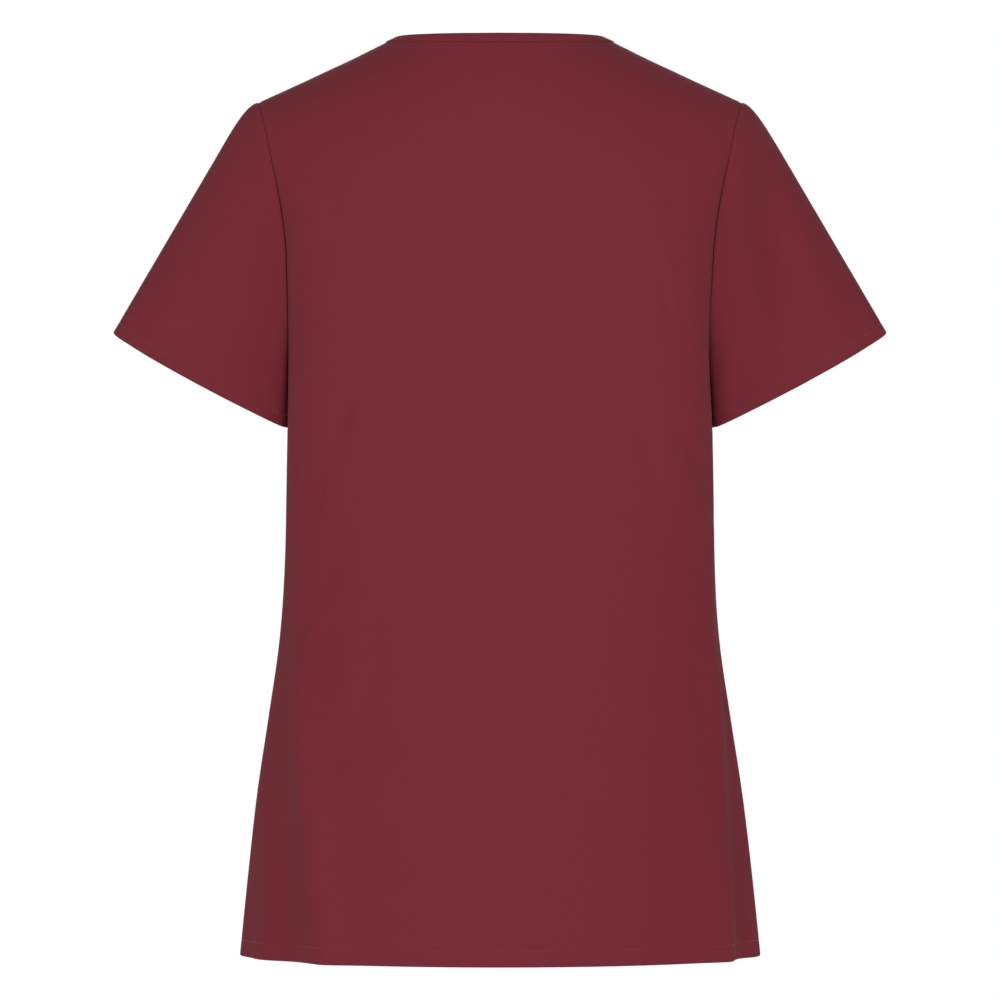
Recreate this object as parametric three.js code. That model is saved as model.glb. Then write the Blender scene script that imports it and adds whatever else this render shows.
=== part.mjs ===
// A woman's pull-on scrub top with a V neck and short set-in sleeves, filled out as it is worn, with
// nobody in it. Millimetres, Z up, and the front faces -Y. While it is shaped, z counts up from the hem.
// The finished group is then lowered, so that its origin lies midway between the two neck points.
import * as THREE from 'three';

// Cloth
const CLOTH = 1.2; // wall of a single layer
const HEM_CLOTH = 2.2; // wall where the hem is turned up inside
const BAND_CLOTH = 2.6; // wall of the folded neckband
const BAND_PROUD = 0.8; // how far the neckband stands out from the panels
const SEAM_GAP = 0.3;
const NECK_SEAM_GAP = 0.45; // on the neckband's side, as the band is thick and turns over the shoulder

// Heights and widths that drive the shape
const UNDERARM_Z = 445;
const SHOULDER_X = 178; // half the distance between the tops of the two armholes
const NECK_X = 85; // half the distance between the two neck points
const BACK_NECK_Z = 671.7; // neckband seam at centre back
const BACK_NECK_TOP_Z = 678; // neckband edge at centre back
const V_SEAM_Z = 535; // neckband seam at the point of the V
const V_TOP_Z = 554; // neckband edge at the point of the V
const BAND_WIDTH_X = 9; // how far the neckband reaches in from each neck point
const HEM_DEPTH = 12;
const HEM_TURN = 91; // how far round from centre back the side seams lie at the hem, in degrees
const SHOULDER_ROUNDNESS = 2.5; // power of the curve that closes back and front over the shoulder
const RIDGE_REACH = 0.02; // this far under the shoulder line, back and front have already met

// The worn body of the garment at each height: half its width, how deep it is behind and in front of the
// side seams at its middle, how far behind the side seams it is widest, and the power of the section's
// outline, where 2 is an ellipse and more is squarer.
const BODY = [
  { z: 0, half: 192.9, back: 119, front: 121, widest: -3, round: 2 },
  { z: 60, half: 186.7, back: 119, front: 121, widest: -1, round: 2.05 },
  { z: 120, half: 179.7, back: 116, front: 119, widest: 2, round: 2.1 },
  { z: 175, half: 171.4, back: 109, front: 117, widest: 6, round: 2.15 },
  { z: 235, half: 163, back: 101, front: 115, widest: 13, round: 2.25 },
  { z: 300, half: 158.6, back: 98, front: 116, widest: 24, round: 2.3 },
  { z: 370, half: 157, back: 103, front: 122, widest: 36, round: 2.6 },
  { z: 435, half: 155.8, back: 108, front: 126, widest: 44, round: 2.8 },
  { z: 500, half: 155.3, back: 110, front: 119, widest: 46, round: 2.9 },
  { z: 570, half: 158, back: 110, front: 106, widest: 42, round: 2.5 },
  { z: 640, half: 166, back: 106, front: 94, widest: 36, round: 2.5 },
  { z: 720, half: 176, back: 100, front: 86, widest: 28, round: 2.5 },
];
const SHOULDER_Z = 640; // any height past the underarm: the sections' power stays the same there

// The line of the shoulders from the middle outwards. Inside the neck points it is the line that back
// and front would close on if the neck weren't cut out.
const SHOULDER_LINE = [
  { x: 0, z: 709 },
  { x: 30, z: 703 },
  { x: 60, z: 688 },
  { x: 76, z: 678.8 },
  { x: 85, z: 674.6 },
  { x: 110, z: 662.2 },
  { x: 126, z: 654.8 },
  { x: 142, z: 647.3 },
  { x: 158, z: 640 },
  { x: 178, z: 631 },
];

// The armhole seam, from the underarm (rise 0) to the shoulder (rise 1): how far out it lies, and how far
// round from centre back or centre front the panel has turned where it ends, in degrees.
const BACK_ARMHOLE = [
  { rise: 0, x: 154.8, turn: 91 },
  { rise: 0.2, x: 155.2, turn: 85 },
  { rise: 0.42, x: 156.4, turn: 80 },
  { rise: 0.57, x: 160, turn: 76.5 },
  { rise: 0.76, x: 167.4, turn: 71.5 },
  { rise: 0.9, x: 173.2, turn: 69 },
  { rise: 1, x: 178, turn: 69 },
];
const FRONT_ARMHOLE = [
  { rise: 0, x: 154.8, turn: 89 },
  { rise: 0.2, x: 150.5, turn: 76 },
  { rise: 0.42, x: 147, turn: 66 },
  { rise: 0.57, x: 148.5, turn: 61 },
  { rise: 0.76, x: 156.5, turn: 58 },
  { rise: 0.9, x: 168, turn: 57 },
  { rise: 1, x: 178, turn: 57 },
];

// The longest soft folds of the body. side: 1 is +X and -1 is -X; angle is round from centre back in
// degrees; the fold runs from low to high, leans by lean degrees over that height, and is width degrees
// wide. depth is how far it stands out, or sinks in if it is negative.
const BODY_FOLDS = [
  { side: 1, angle: 17, lean: 54, width: 6, low: -260, high: 340, depth: 6.5 },
  { side: 1, angle: 33, lean: 52, width: 9, low: -260, high: 330, depth: -7 },
  { side: 1, angle: 73, lean: -41, width: 5, low: 271, high: 439, depth: -2.2 },
  { side: -1, angle: 43, lean: 33, width: 6, low: -260, high: 360, depth: 6 },
  { side: -1, angle: 58, lean: 31, width: 7.5, low: -260, high: 330, depth: -7 },
  { side: -1, angle: 88, lean: -40, width: 5, low: 315, high: 395, depth: -2.6 },
  { side: -1, angle: 90, lean: 0, width: 9, low: 385, high: 545, depth: -2.8 },
  { side: 1, angle: 112, lean: -6, width: 9, low: -80, high: 360, depth: 5 },
  { side: 1, angle: 132, lean: 4, width: 10, low: -90, high: 300, depth: -3.5 },
  { side: -1, angle: 116, lean: -5, width: 8, low: -80, high: 340, depth: 4.5 },
  { side: -1, angle: 135, lean: 3, width: 9, low: -90, high: 330, depth: -3.5 },
];

// Sleeve
const SLEEVE_HEM_OUTER = new THREE.Vector3(286.7, -6, 460.8);
const SLEEVE_HEM_INNER = new THREE.Vector3(155.9, 14, 390.4);
const SLEEVE_HEM_BEHIND = 25; // how far the hem reaches behind the line from its inner to its outer end
const SLEEVE_HEM_BEFORE = 40;
const SLEEVE_HEM_SQUARENESS = 0.5; // power of the hem's outline, where 1 is an ellipse
const SLEEVE_HEM_BOW = 3.9; // how far the hem hangs below a straight line at its middle
const SLEEVE_HEM_DEPTH = 9;
const SLEEVE_LIFT = new THREE.Vector3(3.6, 0, 8.2); // how far the sleeve head stands off its seam at the top
const SLEEVE_PUFF = 2.5; // the same at the sides
const HEAD_ROLL = 0.055; // share of the sleeve's length over which the head rolls out of the seam
const SLEEVE_SEAM_STEP = 0.45; // the sleeve starts this far outside the armhole edge

const CLOTH_MATERIAL = { color: 0x762a34, roughness: 0.88, metalness: 0 };

const radians = THREE.MathUtils.degToRad;
const mix = THREE.MathUtils.lerp;

// Reads a column of a table at a place between its rows, on a smooth curve through the rows.
function read(table, key, at, column) {
  let i = table.findIndex((row) => row[key] > at) - 1;
  if (i === -2) i = table.length - 2;
  i = Math.max(i, 0);
  const slope = (n) => {
    const before = table[Math.max(n - 1, 0)];
    const after = table[Math.min(n + 1, table.length - 1)];
    return (after[column] - before[column]) / (after[key] - before[key]);
  };
  const [a, b] = [table[i], table[i + 1]];
  const span = b[key] - a[key];
  const t = Math.min(Math.max((at - a[key]) / span, 0), 1);
  return (
    a[column] * (1 + 2 * t) * (1 - t) ** 2 +
    b[column] * (3 - 2 * t) * t ** 2 +
    span * (slope(i) * t * (1 - t) ** 2 + slope(i + 1) * t ** 2 * (t - 1))
  );
}

const power = (value, z) => Math.abs(value) ** (2 / read(BODY, 'z', z, 'round'));
const shoulderZ = (x) => read(SHOULDER_LINE, 'x', Math.abs(x), 'z');

// How much of the body's depth is left at a height, as back and front close over the shoulder.
function openness(x, z) {
  const rise = (z - UNDERARM_Z) / (shoulderZ(x) - RIDGE_REACH - UNDERARM_Z);
  if (rise <= 0) return 1;
  return Math.max(1 - rise ** SHOULDER_ROUNDNESS, 0) ** (1 / SHOULDER_ROUNDNESS);
}

// Depth of the uncut body round from centre back, at a height and an angle in radians.
function bodyDepth(z, angle) {
  const widest = read(BODY, 'z', z, 'widest');
  const reach = power(Math.cos(angle), z);
  return Math.cos(angle) > 0
    ? widest + (read(BODY, 'z', z, 'back') - widest) * reach
    : widest - (read(BODY, 'z', z, 'front') + widest) * reach;
}

// How far the folds move a point of the body out along its section.
function foldOut(side, degrees, z) {
  let out = 0;
  for (const fold of BODY_FOLDS) {
    if (fold.side !== side) continue;
    const along = (z - fold.low) / (fold.high - fold.low);
    if (along <= 0 || along >= 1) continue;
    const off = (degrees - fold.angle - fold.lean * along) / fold.width;
    out += fold.depth * Math.exp(-off * off) * Math.sin(Math.PI * along) ** 1.5;
  }
  return out;
}

// A point of the body panels. half is the width that the section would have at its widest there.
function bodyPoint(side, half, angle, z) {
  const x = half * power(Math.sin(angle), z);
  const open = openness(x, z);
  const point = new THREE.Vector3(x, bodyDepth(z, angle) * open, z);
  const outward = new THREE.Vector3(Math.sin(angle), Math.cos(angle), 0);
  point.addScaledVector(outward, foldOut(side, THREE.MathUtils.radToDeg(angle), z) * open);
  point.x *= side;
  return point;
}

// Heights of the rows of a panel: below the underarm, then as shares of the rise above it.
const LOWER_ROWS = [0, HEM_DEPTH, 40, 80, 120, 160, 200, 245, 290, 335, 375, 412, UNDERARM_Z];
const UPPER_ROWS = 12;
const RISES = Array.from({ length: UPPER_ROWS }, (_, i) =>
  Math.sin(((i + 1) / UPPER_ROWS) * (Math.PI / 2)) ** (2 / SHOULDER_ROUNDNESS));
const NECK_COLUMNS = 6;
const SHOULDER_COLUMNS = 13;

// Height of the neck edge. across runs from 0 at the centre to 1 at the neck point, and band from 0 at
// the neckband's seam to 1 at its edge.
function neckZ(front, across, band) {
  const ridge = shoulderZ(NECK_X - BAND_WIDTH_X * band);
  if (front) {
    const low = mix(V_SEAM_Z, V_TOP_Z, band);
    return low + (ridge - low) * across;
  }
  const low = mix(BACK_NECK_Z, BACK_NECK_TOP_Z, band);
  return low + (ridge - low) * across ** 2;
}

// Where the columns lie: x of each on the top row, as the neck and then the shoulder are followed.
const TOP_COLUMNS = [];
for (let i = 0; i <= NECK_COLUMNS; i++)
  TOP_COLUMNS.push(NECK_X * Math.sin((i / NECK_COLUMNS) * (Math.PI / 2)));
for (let i = 1; i <= SHOULDER_COLUMNS; i++)
  TOP_COLUMNS.push(mix(NECK_X, SHOULDER_X, i / SHOULDER_COLUMNS));

// The width that a section would have if it went on past the armhole to where it is widest, and the angle
// in radians at which a section of that half width is x wide, both where the shoulder is.
const fullHalf = (x, turn) => x / power(Math.sin(radians(turn)), SHOULDER_Z);
const angleAt = (x, half) => Math.asin((x / half) ** (read(BODY, 'z', SHOULDER_Z, 'round') / 2));
const fromBack = (front, angle) => (front ? Math.PI - angle : angle);

// A row of the neck on one side, from the centre to the neck point: at the neckband's seam if band is 0,
// and at its edge if it is 1.
function neckRow(front, side, band) {
  const shoulder = (front ? FRONT_ARMHOLE : BACK_ARMHOLE).at(-1);
  const half = fullHalf(shoulder.x, shoulder.turn);
  return TOP_COLUMNS.slice(0, NECK_COLUMNS + 1).map((column) => {
    const across = column / NECK_X;
    const x = (NECK_X - BAND_WIDTH_X * band) * across;
    const angle = fromBack(front, angleAt(x, half));
    return bodyPoint(side, half, angle, neckZ(front, across, band));
  });
}

// The half of a panel on one side: rows of points from the centre outwards, and then one more past the
// side seam and the armhole, for the directions there.
function halfPanel(front, side) {
  const armhole = front ? FRONT_ARMHOLE : BACK_ARMHOLE;
  const [underarm, shoulder] = [armhole[0], armhole.at(-1)];
  const underarmHalf = fullHalf(underarm.x, underarm.turn);
  const shoulderHalf = fullHalf(shoulder.x, shoulder.turn);
  const shares = TOP_COLUMNS.map((x) => angleAt(x, shoulderHalf) / radians(shoulder.turn));
  const count = shares.length;
  shares.push(count / (count - 1));
  const hemTurn = front ? 180 - HEM_TURN : HEM_TURN;
  const rows = LOWER_ROWS.map((z) => shares.map((share, i) => {
    const turn = mix(hemTurn, underarm.turn, z / UNDERARM_Z);
    const angle = radians(turn) * mix(i / (count - 1), share, z / UNDERARM_Z);
    const half = mix(read(BODY, 'z', z, 'half'), underarmHalf, (z / UNDERARM_Z) ** 6);
    return bodyPoint(side, half, fromBack(front, angle), z);
  }));
  for (const rise of RISES) {
    const turn = read(armhole, 'rise', rise, 'turn');
    const half = fullHalf(read(armhole, 'rise', rise, 'x'), turn);
    rows.push(shares.map((share, i) => {
      const x = TOP_COLUMNS[Math.min(i, count - 1)];
      const top = i < NECK_COLUMNS ? neckZ(front, x / NECK_X, 0) : shoulderZ(x);
      const angle = fromBack(front, radians(turn) * share);
      return bodyPoint(side, half, angle, mix(UNDERARM_Z, top, rise));
    }));
  }
  return rows;
}

// Two halves joined at the centre, given as a function of the side. The back runs from +X to -X and the
// front from -X to +X, so that both face out.
function joinHalves(front, half) {
  const [left, right] = [half(-1), half(1)];
  return left.map((row, r) => {
    const across = [...row.slice(1).reverse(), ...right[r]];
    return front ? across : across.reverse();
  });
}

// Moves the last points of a run back from the seam that they lie on.
function trim(point, neighbour, by) {
  const step = neighbour.clone().sub(point);
  point.addScaledVector(step.normalize(), by);
}

function trimSides(rows, by) {
  for (const row of rows) {
    trim(row[0], row[1], by);
    trim(row[row.length - 1], row[row.length - 2], by);
  }
}

function trimTop(rows, by) {
  const last = rows.length - 1;
  rows[last].forEach((point, i) => trim(point, rows[last - 1][i], by));
}

// The direction out of a grid of points at each of them, from its neighbours along and across.
function outward(rows, loop) {
  return rows.map((row, r) => row.map((_, c) => {
    const count = row.length;
    const before = loop ? row[(c + count - 1) % count] : row[Math.max(c - 1, 0)];
    const after = loop ? row[(c + 1) % count] : row[Math.min(c + 1, count - 1)];
    const below = rows[Math.max(r - 1, 0)][c];
    const above = rows[Math.min(r + 1, rows.length - 1)][c];
    const along = after.clone().sub(before);
    return along.cross(above.clone().sub(below)).normalize();
  }));
}

// A closed wall on a grid of outer points. thickness is given for each row, and loop says that each row
// closes on itself.
function wall(rows, thickness, normals, loop = false) {
  const outer = rows.flat();
  const inner = rows.flatMap((row, r) => row.map((point, c) =>
    point.clone().addScaledVector(normals[r][c], -thickness(r))));
  const width = rows[0].length;
  const height = rows.length;
  const position = [...outer, ...inner].flatMap((p) => [p.x, p.y, p.z]);
  const index = [];
  const at = (r, c, layer) => layer * outer.length + r * width + (c % width);
  const quad = (a, b, c, d) => index.push(a, b, c, a, c, d);
  const spans = loop ? width : width - 1;
  for (let c = 0; c < spans; c++) {
    for (let r = 0; r < height - 1; r++) {
      quad(at(r, c, 0), at(r, c + 1, 0), at(r + 1, c + 1, 0), at(r + 1, c, 0));
      quad(at(r, c, 1), at(r + 1, c, 1), at(r + 1, c + 1, 1), at(r, c + 1, 1));
    }
    quad(at(0, c, 0), at(0, c, 1), at(0, c + 1, 1), at(0, c + 1, 0));
    const top = height - 1;
    quad(at(top, c, 0), at(top, c + 1, 0), at(top, c + 1, 1), at(top, c, 1));
  }
  if (!loop)
    for (let r = 0; r < height - 1; r++) {
      quad(at(r, 0, 0), at(r + 1, 0, 0), at(r + 1, 0, 1), at(r, 0, 1));
      const end = width - 1;
      quad(at(r, end, 0), at(r, end, 1), at(r + 1, end, 1), at(r + 1, end, 0));
    }
  const geometry = new THREE.BufferGeometry();
  geometry.setAttribute('position', new THREE.Float32BufferAttribute(position, 3));
  geometry.setIndex(index);
  geometry.computeVertexNormals();
  return geometry;
}

function named(name, geometry) {
  const mesh = new THREE.Mesh(geometry, new THREE.MeshStandardMaterial(CLOTH_MATERIAL));
  mesh.name = name;
  return mesh;
}

// The neckband of the back or the front, which carries on the panel's surface: rows of points from its
// seam to its edge, and the direction out at each of them.
const BAND_STEPS = [0, 0.33, 0.67, 1];

function bandGrid(front) {
  const rows = joinHalves(front, (side) => [
    halfPanel(front, side).at(-2).slice(0, NECK_COLUMNS + 1),
    ...BAND_STEPS.map((band) => neckRow(front, side, band)),
  ]);
  const normals = outward(rows, false);
  for (const row of normals)
    for (const end of [row[0], row.at(-1)]) end.setY(0).normalize();
  return { rows: rows.slice(1), normals: normals.slice(1) };
}

// Back or front: hem, side seams, armholes, shoulders and neck seam.
function panel(front) {
  const grid = joinHalves(front, (side) => halfPanel(front, side));
  const rows = grid.map((row) => row.slice(1, -1));
  const normals = outward(grid, false).map((row) => row.slice(1, -1));
  const neck = bandGrid(front).normals[0];
  const neckStart = SHOULDER_COLUMNS;
  normals.at(-1).forEach((normal, i) => {
    const inNeck = i >= neckStart && i < neckStart + neck.length;
    if (inNeck) normal.copy(neck[i - neckStart]);
    else normal.setY(0).normalize();
  });
  trimSides(rows, SEAM_GAP / 2);
  trimTop(rows, SEAM_GAP / 2);
  return wall(rows, (r) => (r < 2 ? HEM_CLOTH : CLOTH), normals);
}

function neckband(front) {
  const { rows, normals } = bandGrid(front);
  rows.forEach((row, r) => row.forEach((p, c) => p.addScaledVector(normals[r][c], BAND_PROUD)));
  trimSides(rows, SEAM_GAP / 2);
  rows[0].forEach((p, i) => trim(p, rows[1][i], NECK_SEAM_GAP));
  return wall(rows, () => BAND_CLOTH, normals);
}

// The armhole edge from the underarm up the back, over the shoulder and down the front.
function armholeEdge(side) {
  const edge = (front) => halfPanel(front, side)
    .slice(LOWER_ROWS.length - 1)
    .map((row) => row.at(-2));
  const [back, front] = [edge(false), edge(true)];
  return [...back, ...front.slice(1, -1).reverse()];
}

// Rings of a sleeve, from the armhole to the hem. Each point of the armhole is carried to its place on
// the hem along a straight line, and its first part rolls out of the seam. The steps are shares of that
// line down to the turned-up hem, and the last ring is the hem's edge.
const SLEEVE_STEPS = [0, 0.022, 0.05, 0.09, 0.15, 0.25, 0.37, 0.5, 0.63, 0.76, 0.88, 1];

function sleeveRings(side) {
  const edge = armholeEdge(side);
  edge.forEach((point) => {
    point.x *= side;
  });
  const heights = edge.map((p) => (p.z - UNDERARM_Z) / (shoulderZ(SHOULDER_X) - UNDERARM_Z));
  const lengths = [0];
  edge.forEach((p, i) => {
    const next = edge[(i + 1) % edge.length];
    lengths.push(lengths[i] + p.distanceTo(next));
  });
  const topIndex = heights.indexOf(Math.max(...heights));
  const middle = SLEEVE_HEM_OUTER.clone().add(SLEEVE_HEM_INNER).multiplyScalar(0.5);
  const along = SLEEVE_HEM_OUTER.clone().sub(middle);
  const down = new THREE.Vector3(along.z, 0, -along.x).normalize();
  const rings = [...SLEEVE_STEPS, 1].map(() => []);
  edge.forEach((point, i) => {
    const back = i <= topIndex;
    const share = back
      ? lengths[i] / lengths[topIndex]
      : (lengths[edge.length] - lengths[i]) / (lengths[edge.length] - lengths[topIndex]);
    const turn = Math.PI * share;
    const hem = middle.clone().addScaledVector(along, -Math.cos(turn));
    const bulge = back ? SLEEVE_HEM_BEHIND : -SLEEVE_HEM_BEFORE;
    hem.y += bulge * Math.sin(turn) ** SLEEVE_HEM_SQUARENESS;
    hem.addScaledVector(down, SLEEVE_HEM_BOW * Math.sin(turn));
    const start = point.clone();
    start.x += SLEEVE_SEAM_STEP;
    const lift = SLEEVE_LIFT.clone().multiplyScalar(heights[i] ** 4);
    lift.y += (back ? 1 : -1) * SLEEVE_PUFF * Math.sin(turn) ** 2;
    const rolled = start.clone().add(lift);
    const hemStep = 1 - SLEEVE_HEM_DEPTH / rolled.distanceTo(hem);
    const steps = [...SLEEVE_STEPS.map((part) => part * hemStep), 1];
    steps.forEach((step, k) => {
      const ring = rolled.clone().lerp(hem, step);
      ring.addScaledVector(lift, -Math.exp(-step / HEAD_ROLL) * (1 - step));
      ring.x *= side;
      rings[k].push(ring);
    });
  });
  return side > 0 ? rings : rings.map((ring) => ring.reverse());
}

function sleeve(side) {
  const rings = sleeveRings(side);
  const hemFrom = SLEEVE_STEPS.length - 1;
  return wall(rings, (r) => (r >= hemFrom ? HEM_CLOTH : CLOTH), outward(rings, true), true);
}

const top = new THREE.Group();
top.name = 'scrub_top';
top.add(named('back_panel', panel(false)));
top.add(named('front_panel', panel(true)));
top.add(named('sleeve_right', sleeve(-1)));
top.add(named('sleeve_left', sleeve(1)));
top.add(named('neckband_back', neckband(false)));
top.add(named('neckband_front', neckband(true)));
top.position.z = -shoulderZ(NECK_X);

export default top;
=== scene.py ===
"""A woman's pull-on scrub top in wine red cloth, filled out as it is worn, and seen from behind.

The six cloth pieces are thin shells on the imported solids' form, with the finer creases, the
turned-up hems, the folded neckband, the seams' grooves and the stitches. Shapes are worked out in
millimetres with z counted up from the hem. They are moved to the frame's origin and to metres as
they become meshes.
"""
import math

import bpy
import numpy as np
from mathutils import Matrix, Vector


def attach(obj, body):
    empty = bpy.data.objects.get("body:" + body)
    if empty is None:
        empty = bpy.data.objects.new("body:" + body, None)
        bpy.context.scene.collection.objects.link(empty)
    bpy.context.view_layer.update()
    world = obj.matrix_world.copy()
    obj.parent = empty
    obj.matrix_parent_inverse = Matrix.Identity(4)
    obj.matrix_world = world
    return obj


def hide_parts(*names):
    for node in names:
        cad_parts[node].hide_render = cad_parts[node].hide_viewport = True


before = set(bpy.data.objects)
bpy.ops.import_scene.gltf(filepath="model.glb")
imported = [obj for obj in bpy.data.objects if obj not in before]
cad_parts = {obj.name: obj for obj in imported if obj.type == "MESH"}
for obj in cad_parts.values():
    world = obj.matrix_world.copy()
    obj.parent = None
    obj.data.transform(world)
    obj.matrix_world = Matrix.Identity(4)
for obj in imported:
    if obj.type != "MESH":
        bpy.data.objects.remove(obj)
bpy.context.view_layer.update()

bl_info = {
    "name": "Scrub top",
    "version": (1, 0, 0),
    "blender": (4, 5, 0),
    "location": "3D View > Sidebar > Scrub top",
    "description": "Builds a short-sleeved scrub top on its packed solids",
    "category": "Object",
}

MM = 0.001
BODY_NAME = "root"


def table(columns, *rows):
    """A table as one array for each named column."""
    return dict(zip(columns.split(), np.array(rows, float).T))


# Heights and widths of the cut, in millimetres
UNDERARM_Z = 445.0
SHOULDER_Z = 640.0
SHOULDER_X = 178.0
NECK_X = 85.0
BACK_NECK_Z, BACK_NECK_TOP_Z = 671.7, 678.0
V_SEAM_Z, V_TOP_Z = 535.0, 554.0
BAND_WIDTH_X = 9.0
HEM_DEPTH = 12.0
HEM_TURN = 91.0  # degrees from centre back to the side seam at the hem
PANEL_COLUMNS = 95
NECK_COLUMNS = 30
NECK_SHARE = NECK_COLUMNS / PANEL_COLUMNS
ROUNDING = 1e-9  # a column this near to a share lies on it
SHOULDER_ROUNDNESS = 2.5
UNDERARM_EASE = 6  # how late the body's width turns into the armhole's

# The worn body at each height: half its width, its depth behind and in front of the side seams,
# how far behind the seams it is widest, and the power of its outline, where 2 is an ellipse.
BODY = table(
    "z half back front widest round",
    (0, 192.9, 119, 121, -3, 2),
    (60, 186.7, 119, 121, -1, 2.05),
    (120, 179.7, 116, 119, 2, 2.1),
    (175, 171.4, 109, 117, 6, 2.15),
    (235, 163, 101, 115, 13, 2.25),
    (300, 158.6, 98, 116, 24, 2.3),
    (370, 157, 103, 122, 36, 2.6),
    (435, 155.8, 108, 126, 44, 2.8),
    (500, 155.3, 110, 119, 46, 2.9),
    (570, 158, 110, 106, 42, 2.5),
    (640, 166, 106, 94, 36, 2.5),
    (720, 176, 100, 86, 28, 2.5),
)

# The line that back and front close on over the shoulders
SHOULDER_LINE = table(
    "x z",
    (0, 709),
    (30, 703),
    (60, 688),
    (76, 678.8),
    (85, 674.6),
    (110, 662.2),
    (126, 654.8),
    (142, 647.3),
    (158, 640),
    (178, 631),
)

# The armhole seam from underarm to shoulder: how far out it is, and how far round in degrees the
# panel has turned there
BACK_ARMHOLE = table(
    "rise x turn",
    (0, 154.8, 91),
    (0.2, 155.2, 85),
    (0.42, 156.4, 80),
    (0.57, 160, 76.5),
    (0.76, 167.4, 71.5),
    (0.9, 173.2, 69),
    (1, 178, 69),
)
FRONT_ARMHOLE = table(
    "rise x turn",
    (0, 154.8, 89),
    (0.2, 150.5, 76),
    (0.42, 147, 66),
    (0.57, 148.5, 61),
    (0.76, 156.5, 58),
    (0.9, 168, 57),
    (1, 178, 57),
)

# The longest folds. side is 1 for +X; angle is in degrees round from centre back at the low end,
# and leans by lean degrees on the way up; width is in degrees, and low, high and depth are in
# millimetres. A depth below 0 is a hollow.
FOLDS = table(
    "side angle lean width low high depth",
    (1, 17, 54, 6, -260, 340, 6.5),
    (1, 33, 52, 9, -260, 330, -7),
    (1, 73, -41, 5, 271, 439, -2.2),
    (-1, 43, 33, 6, -260, 360, 6),
    (-1, 58, 31, 7.5, -260, 330, -7),
    (-1, 88, -40, 5, 315, 395, -2.6),
    (-1, 90, 0, 9, 385, 545, -2.8),
    (1, 112, -6, 9, -80, 360, 5),
    (1, 132, 4, 10, -90, 300, -3.5),
    (-1, 116, -5, 8, -80, 340, 4.5),
    (-1, 135, 3, 9, -90, 330, -3.5),
)

# Finer creases of the panels, in the same terms
CREASES = table(
    "side angle lean width low high depth",
    (1, 45, -7, 3.2, 345, 440, -1.2),
    (1, 64, -4, 2.4, 300, 385, -0.9),
    (1, 69, -33, 4.0, 270, 360, 1.0),
    (1, 62, -28, 4.0, 235, 330, -1.3),
    (1, 63, -1, 4.5, 200, 288, -3.0),
    (1, 79, -21, 3.0, 147, 238, 1.4),
    (1, 33, -2, 4.0, 160, 285, -1.2),
    (1, 41, -10, 4.0, 130, 225, -1.2),
    (1, 18, 54, 2.2, -250, 330, 1.2),
    (1, 77, 0, 8.0, -150, 160, -4.0),
    (1, 43.5, 16, 4.2, -10, 180, -3.0),
    (1, 35, 16, 4.0, -10, 180, 1.2),
    (1, 55, 8, 2.4, -60, 180, -0.9),
    (1, 62, 7, 2.0, -20, 70, 0.8),
    (1, 50, -10, 4.0, 470, 600, -0.8),
    (-1, 46, -18, 4.5, 325, 430, -1.8),
    (-1, 51, -15, 4.0, 440, 525, -1.2),
    (-1, 80, -34, 2.6, 345, 420, 0.8),
    (-1, 44, 33, 2.2, -250, 340, 1.2),
    (-1, 64, 3, 6.0, 0, 200, -4.0),
    (-1, 52, 2, 5.0, 0, 200, 1.5),
    (-1, 72, 10, 2.4, -60, 170, -0.9),
    (-1, 80, 6, 2.4, -30, 240, -0.9),
    (-1, 23, -2, 8.0, 120, 420, 1.2),
    (-1, 54, -12, 4.0, 460, 610, -0.8),
    (1, 108, 12, 3.2, 300, 470, -1.2),
    (1, 120, 18, 4.0, 280, 450, -1.0),
    (1, 146, -6, 5.0, 80, 330, -1.0),
    (1, 122, -4, 3.0, -40, 190, -1.0),
    (-1, 106, 14, 3.4, 290, 460, -1.2),
    (-1, 123, 16, 4.0, 300, 470, -1.0),
    (-1, 150, -4, 5.5, 60, 300, -0.9),
    (-1, 126, -3, 3.0, -30, 210, -0.9),
)

# The sleeve, in millimetres
SLEEVE_HEM_OUTER = np.array((286.7, -6.0, 460.8))
SLEEVE_HEM_INNER = np.array((155.9, 14.0, 390.4))
SLEEVE_HEM_BEHIND, SLEEVE_HEM_BEFORE = 25.0, 40.0
SLEEVE_HEM_SQUARENESS = 0.5
SLEEVE_HEM_BOW = 3.9
SLEEVE_HEM_DEPTH = 9.0
SLEEVE_LIFT_X, SLEEVE_LIFT_Z = 3.6, 8.2
SLEEVE_PUFF = 2.5
HEAD_ROLL = 0.055

# Creases of the sleeves, as lines from start to end over x and z on the back (face 1) or front (-1)
SLEEVE_CREASES = table(
    "side face x0 z0 x1 z1 bow width depth",
    (-1, 1, 204, 650, 211, 420, 4, 17, -10.5),
    (-1, 1, 166, 480, 168, 380, 0, 9, 3.5),
    (-1, 1, 200, 606, 300, 416, 0, 15, -6),
    (1, 1, 200, 606, 300, 416, 0, 14, -5),
    (-1, 1, 172, 600, 170, 480, 2, 6, 1.0),
    (-1, 1, 214, 560, 208, 430, 3, 6, -1.0),
    (-1, 1, 206, 590, 250, 480, 3, 9, 0.9),
    (1, 1, 193, 610, 198, 520, 2, 5, -0.8),
    (1, 1, 184, 600, 180, 500, -2, 5, -0.7),
    (1, 1, 215, 570, 232, 470, -3, 9, -0.8),
    (1, -1, 190, 615, 184, 470, 4, 9, -2.0),
    (1, -1, 212, 570, 216, 440, 2, 8, -1.2),
    (-1, -1, 186, 610, 178, 480, 3, 8, -1.8),
    (-1, -1, 216, 560, 226, 450, -2, 8, -1.2),
)

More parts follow.
